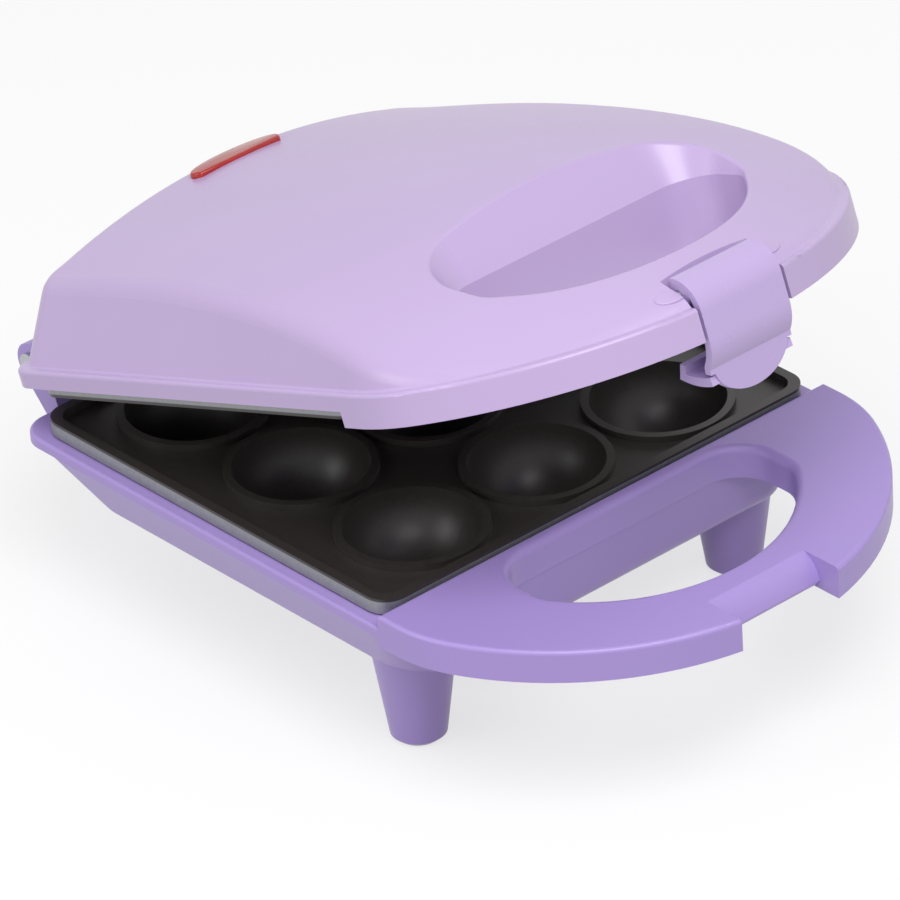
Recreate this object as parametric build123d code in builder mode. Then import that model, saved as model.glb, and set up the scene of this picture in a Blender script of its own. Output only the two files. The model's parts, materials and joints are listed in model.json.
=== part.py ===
from build123d import *
import os
from math import asin, cos, degrees, radians, sin, sqrt, tan

# Countertop cake pop maker, in millimetres and degrees.
# X runs to the right, Y to the rear and Z up; the table is Z = 0 and the origin is under the
# middle of the maker. Most sizes are taken from the case centre and the parting plane, which is
# where the two baking plates meet. The lid is modelled shut and then swung to its resting angle.

# --- case ---
parting_height = 55.0
wall = 2.4
flange_half_width = 81.6
flange_rear = 77.5
flange_drop = 5.0
flange_thickness = 3.0
flange_corner = 9.0
flange_edge_round = 1.0
bowl_depth = 29.0
bowl_top_half_width = 80.2
bowl_top_rear = 76.0
bowl_half_width = 69.0
bowl_front = 74.5
bowl_rear = 66.0
bowl_corner = 17.0
bowl_edge_radius = 6.0
front_foot_spacing = 116.8
rear_foot_spacing = 44.0
foot_row = 58.4
foot_top_radius = 12.6
foot_tip_radius = 7.6
foot_tip_edge = 1.6
leg_root = -20.0

# --- carrying handles, one on the base and one on the lid ---
handle_reach = 145.0
handle_shoulder = 86.0
shoulder_blend = 40.0
handle_start = 72.0
handle_top_drop = 1.0
handle_height = 9.5
finger_back = 76.5
finger_half_width = 45.5
finger_side_end = 97.0
finger_front = 122.0
finger_back_corner = 12.0
finger_front_corner = 9.0
finger_edge_round = 2.3
handle_edge_round = 1.2
edge_search = 0.1
rib_thickness = 1.8
rib_setback = 1.5
rib_angle = 42.0

# --- baking plates ---
plate_width = 156.0
plate_depth = 142.0
plate_corner = 7.0
plate_rim_corner = 5.0
plate_thickness = 4.5
plate_gap = 1.0
plate_seat_lap = 3.5
plate_rim_width = 3.0
plate_rim_height = 2.5
plate_lip_inset = 4.0
plate_lip_wall = 2.0
plate_lip_depth = 4.0
cup_count = 3
cup_pitch = 45.0
cup_radius = 19.0
cup_wall = 2.0
cup_step = 30.0
cup_drop = 0.6
cup_bead_radius = 21.3

# --- heating ---
heater_radius = 3.25
heater_depth = 13.0
heater_bend = 12.0
heater_length_rear = 57.0
heater_rib_width = 10.5
heater_rib_end = 55.0
seal_radius = 4.2
seal_length = 4.5
pin_radius = 1.2
pin_length = 2.6
lead_radius = 0.9

# --- plate fixings and reflectors ---
screw_across = 116.0
screw_along = 45.0
plate_boss_radius = 4.4
plate_boss_length = 6.5
pillar_radius = 5.4
pillar_shoulder_radius = 6.8
screw_radius = 1.75
screw_head_radius = 3.4
screw_head_height = 2.4
screw_well_radius = 3.9
screw_seat = 6.0
reflector_thickness = 0.8
reflector_half_width = 66.0
reflector_half_depth = 56.0
reflector_rim = 3.0
reflector_corner = 14.0
reflector_hole_gap = 0.4
reflector_gap = 2.0
screw_slot_width = 0.9
screw_clearance = 0.15
screw_bite = 5.7
post_bite = 12.0

# --- hinge ---
hinge_y = 86.0
hinge_z = 6.0
rest_opening = 19.5
ear_radius = 6.0
lug_radius = 5.4
hinge_pin_radius = 2.0
hinge_clearance = 0.05
ear_inner = 61.0
ear_width = 7.0
lug_width = 9.0
washer_thickness = 1.0
washer_radius = 4.6
pin_head_radius = 3.4
pin_head_height = 1.4
hinge_pin_start = 52.0
hinge_pin_length = 16.0
ear_root = ((76.0, -5.5), (76.0, -5.0), (74.0, -8.0), (71.0, -19.0))
lug_root = ((76.2, 5.4), (76.2, 14.5), (75.8, 10.0))

# --- lid ---
lid_overhang = 0.4
lid_rear = 78.0
lid_reach = 144.2
lid_skirt_bottom = 5.0
lid_handle_bottom = 0.6
lid_bead_top = 10.0
lid_bead_round = 1.0
lid_bead_blend = 0.9
lid_side_low = 7.0
lid_side_low_inset = 1.2
lid_side_low_rear = 77.0
lid_side_low_reach = 142.9
lid_side_high = 46.0
lid_side_high_rear_inset = 24.4
lid_side_high_shoulder_inset = 9.7
lid_side_high_shoulder = 80.0
lid_side_high_rear = 72.8
lid_side_high_reach = 135.2
lid_corner = 9.0
lid_crest_round = 8.0
crown_half_width = 90.0
# distance from the case centre to the rear, height and crown radius along the lid's ridge
lid_ridge = [
    (84.0, 41.0, 235.0),
    (20.0, 41.6, 248.0),
    (-20.0, 41.4, 238.0),
    (-60.0, 38.6, 210.0),
    (-95.0, 31.6, 168.0),
    (-125.0, 20.6, 120.0),
    (-150.0, 8.4, 96.0),
]
lid_finger_front = 124.0
finger_crease = 22.0
finger_flare_angle = 30.0
finger_rim_round = 1.2

# --- latch ---
slot_half_width = 15.3
slot_back = 130.8
slot_wall = 2.5
latch_half_width = 14.3
latch_pin_y = -135.7
latch_pin_z = 12.8
latch_pin_radius = 1.5
latch_pin_clearance = 0.08
latch_front = 142.9
latch_top = 17.5
latch_top_back = 133.8
latch_wall = 2.2
latch_barrel_radius = 3.5
latch_crease_y = -139.9
latch_crease_z = -7.7
latch_tab_drop = 9.5
latch_tab_half_width = 13.0
jaw_floor = -10.1
jaw_thickness = 2.4
jaw_tip_rise = 2.2
notch_half_width = 17.5
notch_wall = 2.4
notch_back = 126.0
nose_top_reach = 130.1
nose_reach = 136.2
nose_reach_z = -8.3
nose_bottom_reach = 134.6
nose_bottom = -9.8
nose_bulge = 0.9
nose_wall = 2.2
nose_lean = 1.2
latch_belly_z = 0.5
latch_tongue_slope = 0.105
latch_skirt = 1.5
latch_web_spacing = 10.0
latch_web_thickness = 1.8
jaw_end = 291.5
jaw_tip_angle = 5.2
nose_round = 1.0

# --- inlet, indicator and controls ---
gland_z = -16.5
gland_bore_radius = 3.5
gland_body_radius = 5.2
gland_flange_radius = 7.6
gland_flange_thickness = 2.0
gland_boss_radius = 8.2
gland_boss_front = 66.0
lens_y = 62.0
lens_length = 28.6
lens_width = 5.0
lens_flange_margin = 1.6
lens_flange_thickness = 1.2
lens_clearance = 0.1
lamp_radius = 3.0
lamp_length = 14.0
lamp_holder_length = 18.0
lamp_holder_width = 9.0
thermostat_radius = 8.2
thermostat_height = 7.0
thermostat_pad_length = 32.0
thermostat_pad_width = 12.0
thermostat_flange_width = 10.0
thermostat_screw_spacing = 24.0
gland_lip_length = 2.0
gland_lip = 0.9
gland_boss_rear = 78.0
lens_top = 41.9
lens_seat = 38.9
lens_round = 0.6
lamp_holder_floor = 1.2
terminal_spacing = 6.0
terminal_width = 4.0
terminal_height = 2.0
thermostat_pad_depth = 23.8
small_screw_radius = 1.2
small_screw_bite = 5.0

# --- handle cover ---
cover_thickness = 2.0
cover_gap = 0.25
cover_screw_radius = 1.4
cover_boss_radius = 3.6
cover_screw_head_radius = 2.4
cover_bite = 7.0
cover_screw_spots = ((62.0, -88.0), (-62.0, -88.0), (40.0, -122.0), (-40.0, -122.0))

# --- splices and leads ---
cap_start = 9.5
cap_length = 9.0
cap_radius = 2.6
cap_y = 66.4
lid_lead_back = 67.5

# --- worked out from the above ---
latch_round = latch_front - latch_top_back
jaw_radius = latch_pin_z - jaw_floor
hinge_reach = hinge_y + ear_radius
lid_half_width = flange_half_width + lid_overhang
lid_side_low_half_width = lid_half_width - lid_side_low_inset
lid_side_high_half_rear = lid_half_width - lid_side_high_rear_inset
lid_side_high_half_shoulder = lid_half_width - lid_side_high_shoulder_inset
bow_half = flange_half_width
bow_rise = handle_reach - handle_shoulder
bow_radius = (bow_half**2 + bow_rise**2) / (2 * bow_rise)
bow_centre = handle_reach - bow_radius
handle_front = bow_centre + sqrt(bow_radius**2 - notch_half_width**2)
case_y = (handle_front - hinge_reach) / 2
flange_top = -flange_drop
flange_bottom = flange_top - flange_thickness
bowl_floor = -bowl_depth + wall
handle_top = -handle_top_drop
handle_bottom = handle_top - handle_height
upper_rim_z = plate_gap
bead_plane = parting_height + lid_bead_top
upper_reflector_seat = upper_rim_z + cup_drop + cup_radius + cup_wall + reflector_gap + reflector_thickness


def level(height):
    """Plane parallel to the table at a height above the parting plane, centred on the case."""
    return Plane(origin=(0, case_y, parting_height + height))


def side(x):
    """Upright plane square to X: its own x runs to the rear and its own y runs up."""
    return Plane(origin=(x, case_y, parting_height), x_dir=(0, 1, 0), z_dir=(1, 0, 0))


def front(y):
    """Upright plane square to Y, seen from the front: its own x runs right and its own y up."""
    return Plane(origin=(0, case_y + y, parting_height), x_dir=(1, 0, 0), z_dir=(0, -1, 0))


def case_outline(half_rear, half_shoulder, shoulder, rear, reach, corner):
    """Plan of the case with its bowed handle: straight rear and sides, and an arc in front."""
    with BuildSketch() as outline:
        with BuildLine():
            Polyline(
                (-half_shoulder, -shoulder),
                (-half_rear, rear),
                (half_rear, rear),
                (half_shoulder, -shoulder),
            )
            ThreePointArc((half_shoulder, -shoulder), (0, -reach), (-half_shoulder, -shoulder))
        make_face()
        fillet(outline.vertices().group_by(Axis.Y)[-1], corner)
        fillet(outline.vertices().group_by(Axis.Y)[0], shoulder_blend)
    return outline.sketch


def finger_outline(front_reach, grow=0.0):
    """Plan of a finger opening: straight back and sides, and an arc in front."""
    with BuildSketch() as outline:
        with BuildLine():
            Polyline(
                (-finger_half_width, -finger_side_end),
                (-finger_half_width, -finger_back),
                (finger_half_width, -finger_back),
                (finger_half_width, -finger_side_end),
            )
            ThreePointArc(
                (finger_half_width, -finger_side_end),
                (0, -front_reach),
                (-finger_half_width, -finger_side_end),
            )
        make_face()
        fillet(outline.vertices().group_by(Axis.Y)[-1], finger_back_corner)
        fillet(outline.vertices().group_by(Axis.Y)[0], finger_front_corner)
        if grow:
            offset(amount=grow)
    return outline.sketch


def hollow_plan(outline, front_reach, pocket_half_width, pocket_back):
    """Plan of the space inside a handle: clear of the outer wall, the finger ring and the latch pocket."""
    with BuildSketch() as plan:
        add(outline)
        offset(amount=-wall)
        with Locations((0, handle_reach - finger_back)):
            Rectangle(3 * flange_half_width, 2 * handle_reach, mode=Mode.SUBTRACT)
        add(finger_outline(front_reach, wall), mode=Mode.SUBTRACT)
        with Locations((0, -pocket_back - handle_reach / 2)):
            Rectangle(2 * pocket_half_width, handle_reach, mode=Mode.SUBTRACT)
    return plan.sketch


def rib_plan(hollow):
    """Plan of the stiffening ribs that cross a handle's hollow."""
    with BuildSketch() as plan:
        with Locations((0, -handle_shoulder - finger_back_corner / 2)):
            Rectangle(2 * flange_half_width, rib_thickness)
        for angle in (-rib_angle, rib_angle):
            with Locations(Location((0, -bow_centre, 0), (0, 0, angle))):
                with Locations((0, -handle_reach / 2)):
                    Rectangle(rib_thickness, handle_reach)
        add(hollow, mode=Mode.INTERSECT)
    return plan.sketch


def behind(distance):
    """A cutting slab that covers all of the case behind a line across it."""
    with BuildSketch() as slab:
        with Locations((0, handle_reach - distance)):
            Rectangle(3 * flange_half_width, 2 * handle_reach)
    return slab.sketch


def ahead(distance):
    """A cutting slab that covers all of the case in front of a line across it."""
    with BuildSketch() as slab:
        with Locations((0, -handle_reach - distance)):
            Rectangle(3 * flange_half_width, 2 * handle_reach)
    return slab.sketch


def on(plane, plan):
    """The places of a flat pattern, set on a plane."""
    return Locations(*[plane.location * place for place in plan.local_locations])


# --- baking plates: one pattern, used twice face to face ---
lower_rim = level(0)
upper_rim = Plane(origin=(0, case_y, parting_height + plate_gap), x_dir=(-1, 0, 0), z_dir=(0, 0, -1))
screw_plan = GridLocations(screw_across, screw_along, 2, 2)
cup_plan = GridLocations(cup_pitch, cup_pitch, cup_count, cup_count)
plate_back = plate_thickness + plate_boss_length


def heater_line(length):
    """The U that a heating element follows round the middle cup, in a plate's own plan."""
    leg = cup_pitch / 2
    with BuildLine() as line:
        FilletPolyline((-leg, length), (-leg, -leg), (leg, -leg), (leg, length), radius=heater_bend)
    return line.line


def cup_back():
    """The back of one cup: the casting follows the bowl in straight drafted steps, at least a wall away."""
    reach = (cup_radius + cup_wall) / cos(radians(cup_step / 2))
    steps = [radians(cup_step * count) for count in range(int(90 / cup_step))]
    with BuildPart() as back:
        with BuildSketch(Plane.XZ):
            with BuildLine():
                Polyline(
                    (0, 0),
                    *[(reach * cos(turn), -reach * sin(turn)) for turn in steps],
                    (reach * sin(radians(cup_step / 2)) / 2, -cup_radius - cup_wall),
                    (0, -cup_radius - cup_wall),
                    close=True,
                )
            make_face()
        revolve(axis=Axis.Z)
    return back.part


def baking_plate(rim):
    """A die-cast plate hanging from its rim plane, with cups, a heater rib and screw bosses."""
    path = rim.offset(-heater_depth) * heater_line(heater_rib_end + plate_depth)
    with BuildPart() as plate:
        with BuildSketch(rim.offset(-plate_thickness)):
            RectangleRounded(plate_width, plate_depth, plate_corner)
        extrude(amount=plate_thickness)
        # lip that drops into the case
        with BuildSketch(rim.offset(-plate_thickness)):
            RectangleRounded(
                plate_width - 2 * plate_lip_inset, plate_depth - 2 * plate_lip_inset, plate_corner
            )
            offset(amount=-plate_lip_wall, mode=Mode.SUBTRACT)
        extrude(amount=-plate_lip_depth)
        # backs of the cups, the heater rib and the screw bosses
        with on(rim.offset(-cup_drop), cup_plan):
            add(cup_back())
        with BuildSketch(rim.offset(-heater_depth)):
            add(heater_line(heater_rib_end).edges())
            trace(line_width=heater_rib_width)
        extrude(amount=heater_depth - plate_thickness)
        with BuildSketch(rim.offset(-plate_back)):
            with screw_plan:
                Circle(plate_boss_radius)
        extrude(amount=plate_boss_length)
        # floor inside the raised rim
        with BuildSketch(rim.offset(-plate_rim_height)):
            RectangleRounded(
                plate_width - 2 * plate_rim_width, plate_depth - 2 * plate_rim_width, plate_rim_corner
            )
        extrude(amount=cup_pitch, mode=Mode.SUBTRACT)
        with BuildSketch(rim.offset(-plate_rim_height)):
            with cup_plan:
                Circle(cup_bead_radius)
        extrude(amount=plate_rim_height - cup_drop)
        with on(rim.offset(-cup_drop), cup_plan):
            Sphere(cup_radius, mode=Mode.SUBTRACT)
        # groove for the heating element
        with BuildSketch(Plane(origin=path @ 0, z_dir=path % 0)):
            Circle(heater_radius)
        sweep(path=path, mode=Mode.SUBTRACT)
    return plate.part


with BuildPart() as lower_plate:
    add(baking_plate(lower_rim))
    with BuildSketch(lower_rim.offset(-plate_back)):
        with screw_plan:
            Circle(screw_radius)
    extrude(amount=screw_bite, mode=Mode.SUBTRACT)

with BuildPart() as upper_plate:
    add(baking_plate(upper_rim))
    with Locations(upper_rim.offset(-cup_drop)):
        Box(
            thermostat_pad_length,
            thermostat_pad_width,
            thermostat_pad_depth,
            align=(Align.CENTER, Align.CENTER, Align.MAX),
        )
        Sphere(cup_radius, mode=Mode.SUBTRACT)
    with on(upper_rim.offset(-plate_rim_height), screw_plan):
        CounterSinkHole(screw_radius, screw_head_radius, depth=plate_back, counter_sink_angle=90)
    with BuildSketch(upper_rim.offset(-cup_drop - thermostat_pad_depth)):
        with GridLocations(thermostat_screw_spacing, 1, 2, 1):
            Circle(small_screw_radius)
    extrude(amount=small_screw_bite, mode=Mode.SUBTRACT)


# --- moulded base ---
base_outline = case_outline(
    flange_half_width, flange_half_width, handle_shoulder, flange_rear, handle_reach, flange_corner
)
base_hollow = hollow_plan(base_outline, finger_front, notch_half_width + notch_wall, notch_back - notch_wall)
foot_plan = Locations(
    (-front_foot_spacing / 2, -foot_row),
    (front_foot_spacing / 2, -foot_row),
    (-rear_foot_spacing / 2, foot_row),
    (rear_foot_spacing / 2, foot_row),
)
pillar_top = -plate_back
well_top = pillar_top - screw_seat
reflector_seat = -(cup_drop + cup_radius + cup_wall + reflector_gap + reflector_thickness)


def bowl_form(inset):
    """The tapering bowl below the flange; inset makes its inside."""
    with BuildPart() as form:
        with BuildSketch(level(flange_bottom)):
            with Locations((0, (bowl_top_rear - finger_back) / 2)):
                RectangleRounded(
                    2 * (bowl_top_half_width - inset), bowl_top_rear + finger_back - 2 * inset, flange_corner
                )
        with BuildSketch(level(-bowl_depth + inset)):
            with Locations((0, (bowl_rear - bowl_front) / 2)):
                RectangleRounded(
                    2 * (bowl_half_width - inset), bowl_rear + bowl_front - 2 * inset, bowl_corner
                )
        loft(ruled=True)
        if not inset:
            fillet(form.faces().sort_by(Axis.Z)[0].edges(), bowl_edge_radius)
    return form.part


def leg_form(inset):
    """A tapering leg from inside the bowl to the table; inset makes its inside."""
    with BuildPart() as leg:
        with BuildSketch(level(leg_root)):
            Circle(foot_top_radius - inset)
        with BuildSketch(level(-parting_height + inset)):
            Circle(foot_tip_radius - inset)
        loft()
        if not inset:
            chamfer(leg.faces().sort_by(Axis.Z)[0].edges(), foot_tip_edge)
    return leg.part


def hinge_knuckle(radius, root, start, width):
    """A hinge eye drawn down to its root, from start outwards, on both sides of the case."""
    with BuildPart() as knuckle:
        for place, reach in ((start, width), (-start, -width)):
            with BuildSketch(side(place)):
                with Locations((hinge_y, hinge_z)):
                    Circle(radius)
                with BuildLine():
                    Polyline(*root, close=True)
                make_face()
                make_hull()
            extrude(amount=reach)
    return knuckle.part


def edges_at(part, height, front_limit, rear_limit):
    """A part's edges at one height, with their middles strictly between two lines across the case."""
    plane = parting_height + height
    lying = part.edges().filter_by_position(Axis.Z, plane - edge_search, plane + edge_search)
    low = case_y + front_limit + edge_search
    return lying.filter_by_position(Axis.Y, low, case_y + rear_limit + edge_search)


def nose_profile():
    """Upright section of the catch that the latch hooks under: a ramp, a rounded nose and a lip."""
    with BuildSketch() as profile:
        with BuildLine():
            mid_y = -(nose_top_reach + nose_reach) / 2 - nose_bulge
            mid_z = (handle_top + nose_reach_z) / 2 + nose_bulge
            ramp = ThreePointArc((-nose_top_reach, handle_top), (mid_y, mid_z), (-nose_reach, nose_reach_z))
            Polyline(
                ramp @ 1,
                (-nose_bottom_reach, nose_bottom),
                (-nose_bottom_reach + nose_wall, nose_bottom),
                (-nose_reach + nose_wall + nose_lean, nose_reach_z),
                (-nose_top_reach + nose_wall, handle_top - wall),
                (-notch_back, handle_top - wall),
                (-notch_back, handle_top),
                ramp @ 0,
            )
        make_face()
        fillet(profile.vertices().sort_by(Axis.X)[0], nose_round)
    return profile.sketch


with BuildPart() as base_shell:
    with BuildSketch(level(flange_bottom)):
        add(base_outline)
        add(ahead(handle_start), mode=Mode.SUBTRACT)
    extrude(amount=flange_thickness)
    fillet(edges_at(base_shell, flange_top, -handle_start, flange_rear), flange_edge_round)
    with BuildSketch(level(handle_bottom)):
        add(base_outline)
        add(behind(handle_start), mode=Mode.SUBTRACT)
    extrude(amount=handle_height)
    fillet(edges_at(base_shell, handle_top, -handle_reach, -handle_start), handle_edge_round)
    add(bowl_form(0))
    with foot_plan:
        add(leg_form(0))
    # insides of the bowl, the legs and the handle
    add(bowl_form(wall), mode=Mode.SUBTRACT)
    with foot_plan:
        add(leg_form(wall), mode=Mode.SUBTRACT)
    with BuildSketch(level(flange_bottom)):
        RectangleRounded(plate_width - 2 * plate_seat_lap, plate_depth - 2 * plate_seat_lap, plate_corner)
    extrude(amount=flange_drop, mode=Mode.SUBTRACT)
    with BuildSketch(level(handle_bottom)):
        add(base_hollow)
    extrude(amount=handle_height - wall, mode=Mode.SUBTRACT)
    with BuildSketch(level(handle_bottom + rib_setback)):
        add(rib_plan(base_hollow))
    extrude(amount=handle_height - wall - rib_setback)
    # finger opening, and the notch with its catch
    with BuildSketch(level(handle_bottom)):
        add(finger_outline(finger_front))
    extrude(amount=handle_height, mode=Mode.SUBTRACT)
    fillet(edges_at(base_shell, handle_top, -finger_front, -finger_back), finger_edge_round)
    with BuildSketch(level(handle_bottom)):
        with Locations((0, -notch_back - handle_reach / 2)):
            Rectangle(2 * notch_half_width, handle_reach)
    extrude(amount=handle_height, mode=Mode.SUBTRACT)
    with BuildSketch(side(0)):
        add(nose_profile())
    extrude(amount=notch_half_width, both=True)
    # pillars for the plate, each with a screw well from below and a shoulder for the reflector
    with BuildSketch(level(bowl_floor)):
        with screw_plan:
            Circle(pillar_shoulder_radius)
    extrude(amount=reflector_seat - bowl_floor)
    with BuildSketch(level(bowl_floor)):
        with screw_plan:
            Circle(pillar_radius)
    extrude(amount=pillar_top - bowl_floor)
    with BuildSketch(level(-bowl_depth)):
        with screw_plan:
            Circle(screw_well_radius)
    extrude(amount=well_top + bowl_depth, mode=Mode.SUBTRACT)
    with BuildSketch(level(well_top)):
        with screw_plan:
            Circle(screw_radius + screw_clearance)
    extrude(amount=screw_seat, mode=Mode.SUBTRACT)
    # hinge ears
    add(hinge_knuckle(ear_radius, ear_root, ear_inner, ear_width))
    with BuildSketch(side(0)):
        with Locations((hinge_y, hinge_z)):
            Circle(hinge_pin_radius)
    extrude(amount=flange_half_width, both=True, mode=Mode.SUBTRACT)
    # seat for the inlet bush
    with BuildSketch(front(gland_boss_front)):
        with Locations((0, gland_z)):
            Circle(gland_boss_radius)
    extrude(amount=gland_boss_front - gland_boss_rear)
    with BuildSketch(front(gland_boss_front)):
        with Locations((0, gland_z)):
            Circle(gland_body_radius)
    extrude(amount=gland_boss_front - gland_boss_rear, mode=Mode.SUBTRACT)

# --- moulded lid, modelled shut ---
lid_low_outline = case_outline(
    lid_side_low_half_width,
    lid_side_low_half_width,
    handle_shoulder,
    lid_side_low_rear,
    lid_side_low_reach,
    lid_corner,
)
lid_high_outline = case_outline(
    lid_side_high_half_rear,
    lid_side_high_half_shoulder,
    lid_side_high_shoulder,
    lid_side_high_rear,
    lid_side_high_reach,
    lid_corner,
)
lid_outline = case_outline(lid_half_width, lid_half_width, handle_shoulder, lid_rear, lid_reach, lid_corner)
lid_hollow = hollow_plan(lid_outline, lid_finger_front, slot_half_width + slot_wall, lid_finger_front)


def lid_crown(drop):
    """Everything under the lid's crowned top, which falls away towards the handle."""
    with BuildPart() as crown:
        for y, height, radius in lid_ridge:
            sag = radius - sqrt(radius**2 - crown_half_width**2)
            edge = height - drop - sag
            with BuildSketch(front(y)):
                with BuildLine():
                    arc = ThreePointArc(
                        (-crown_half_width, edge), (0, height - drop), (crown_half_width, edge)
                    )
                    foot = -2 * parting_height
                    Polyline(arc @ 1, (crown_half_width, foot), (-crown_half_width, foot), arc @ 0)
                make_face()
        loft()
    return crown.part


def lid_form(inset):
    """The lid between its leaning sides and its crowned top; inset makes its inside."""
    with BuildPart() as form:
        with BuildSketch(level(lid_side_low)):
            add(lid_low_outline)
            if inset:
                offset(amount=-inset)
        with BuildSketch(level(lid_side_high)):
            add(lid_high_outline)
            if inset:
                offset(amount=-inset)
        loft(ruled=True)
        add(lid_crown(inset), mode=Mode.INTERSECT)
    return form.part


def finger_flare(grow):
    """The widening mouth of the lid's finger opening, above the crease in its wall."""
    spread = (lid_side_high - finger_crease) * tan(radians(finger_flare_angle))
    with BuildPart() as flare:
        with BuildSketch(level(finger_crease)):
            add(finger_outline(lid_finger_front, grow))
        with BuildSketch(level(lid_side_high)):
            add(finger_outline(lid_finger_front, grow + spread))
        loft(ruled=True)
    return flare.part


with BuildPart() as lid_inside:
    # everything between the inner faces, less the handle's walls and the flared mouth
    add(lid_form(wall))
    with BuildSketch(level(lid_handle_bottom)):
        add(lid_outline)
        offset(amount=-wall)
    extrude(amount=lid_side_low - lid_handle_bottom + wall)
    with BuildSketch(level(lid_handle_bottom)):
        add(behind(finger_back - wall))
        add(lid_hollow)
    extrude(amount=lid_side_high, mode=Mode.INTERSECT)
    add(finger_flare(wall), mode=Mode.SUBTRACT)

with BuildPart() as lid_posts:
    # posts that carry the plate, shouldered for the reflector, and bosses for the handle covers
    with BuildSketch(level(upper_rim_z + plate_back)):
        with screw_plan:
            Circle(pillar_radius)
    extrude(amount=lid_side_high)
    with BuildSketch(level(upper_reflector_seat)):
        with screw_plan:
            Circle(pillar_shoulder_radius)
    extrude(amount=lid_side_high)
    with BuildSketch(level(lid_handle_bottom + cover_thickness)):
        with Locations(cover_screw_spots):
            Circle(cover_boss_radius)
    extrude(amount=lid_side_high)
    add(lid_form(wall / 2), mode=Mode.INTERSECT)
    with BuildSketch(level(lid_handle_bottom + cover_thickness)):
        with Locations(cover_screw_spots):
            Circle(cover_boss_radius)
    extrude(amount=lid_side_low)

with BuildPart() as lid_shell:
    add(lid_form(0))
    fillet(lid_shell.faces().sort_by(Axis.Z)[-1].edges(), lid_crest_round)
    with BuildSketch(level(lid_handle_bottom)):
        add(lid_outline)
    extrude(amount=lid_bead_top - lid_handle_bottom)
    top_faces = lid_shell.faces().filter_by(Axis.Z)
    ledge = top_faces.filter_by_position(Axis.Z, bead_plane - edge_search, bead_plane + edge_search)[0]
    fillet(ledge.outer_wire().edges(), lid_bead_round)
    fillet(ledge.inner_wires()[0].edges(), lid_bead_blend)
    add(lid_inside.part, mode=Mode.SUBTRACT)
    add(lid_posts.part)
    # the sides end higher than the handle, to clear the plate
    with BuildSketch(level(lid_handle_bottom)):
        add(behind(handle_start))
    extrude(amount=lid_skirt_bottom - lid_handle_bottom, mode=Mode.SUBTRACT)
    # finger opening
    with BuildSketch(level(lid_handle_bottom)):
        add(finger_outline(lid_finger_front))
    extrude(amount=finger_crease - lid_handle_bottom, mode=Mode.SUBTRACT)
    add(finger_flare(0), mode=Mode.SUBTRACT)
    crown = lid_shell.faces().sort_by(SortBy.AREA)[-1]
    fillet(crown.inner_wires()[0].edges(), finger_rim_round)
    # latch slot and the holes for its pin
    with BuildSketch(level(lid_handle_bottom)):
        with Locations((0, -slot_back - handle_reach / 2)):
            Rectangle(2 * slot_half_width, handle_reach)
    extrude(amount=lid_side_high, mode=Mode.SUBTRACT)
    with BuildSketch(side(0)):
        with Locations((latch_pin_y, latch_pin_z)):
            Circle(latch_pin_radius)
    extrude(amount=slot_half_width + 2 * slot_wall, both=True, mode=Mode.SUBTRACT)
    # pilot holes for the plate and cover screws
    with BuildSketch(level(upper_rim_z + plate_back)):
        with screw_plan:
            Circle(screw_radius)
    extrude(amount=post_bite, mode=Mode.SUBTRACT)
    with BuildSketch(level(lid_handle_bottom + cover_thickness)):
        with Locations(cover_screw_spots):
            Circle(cover_screw_radius)
    extrude(amount=cover_bite, mode=Mode.SUBTRACT)
    # window for the indicator lens, with a flat seat for its flange
    with BuildSketch(level(lens_seat)):
        with Locations((0, lens_y)):
            SlotOverall(lens_length + 2 * lens_clearance, lens_width + 2 * lens_clearance)
    extrude(amount=lid_side_high - lens_seat, mode=Mode.SUBTRACT)
    with BuildSketch(level(lens_seat)):
        with Locations((0, lens_y)):
            SlotOverall(
                lens_length + 2 * lens_flange_margin + 2 * lens_clearance,
                lens_width + 2 * lens_flange_margin + 2 * lens_clearance,
            )
    extrude(amount=-2 * lens_flange_thickness, mode=Mode.SUBTRACT)
    # hinge lugs
    add(hinge_knuckle(lug_radius, lug_root, ear_inner - washer_thickness, -lug_width))
    with BuildSketch(side(0)):
        with Locations((hinge_y, hinge_z)):
            Circle(hinge_pin_radius + hinge_clearance)
    extrude(amount=flange_half_width, both=True, mode=Mode.SUBTRACT)

# --- latch, modelled shut ---
def latch_arc(radius, start, end):
    """Arc about the latch's pin, in the upright section, between two angles from the rear."""
    return CenterArc((latch_pin_y, latch_pin_z), radius, start, end - start)


def latch_face(half_width, tongue):
    """The latch's curved front wall down to its crease, or to the end of its thumb tongue."""
    crease = (latch_crease_y, latch_crease_z)
    end_y = latch_crease_y + tongue * latch_tongue_slope
    with BuildPart() as face:
        with BuildSketch(side(0)):
            with BuildLine() as line:
                crown = CenterArc((-latch_top_back, latch_top - latch_round), latch_round, 90, 90)
                drop = Line(crown @ 1, (-latch_top_back - latch_round, latch_belly_z))
                belly = TangentArc(drop @ 1, crease, tangent=drop % 1)
                Line(belly @ 1, (end_y, latch_crease_z - tongue))
                offset(amount=latch_wall, side=Side.LEFT)
            make_face()
        extrude(amount=half_width, both=True)
    return face.part


with BuildPart() as latch_tongue:
    # thumb tongue with a rounded end
    add(latch_face(latch_tab_half_width, latch_tab_drop))
    with BuildSketch(front(-latch_front - latch_wall)):
        with Locations((0, latch_crease_z)):
            Ellipse(latch_tab_half_width, latch_tab_drop)
    extrude(amount=-latch_front, mode=Mode.INTERSECT)

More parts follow.
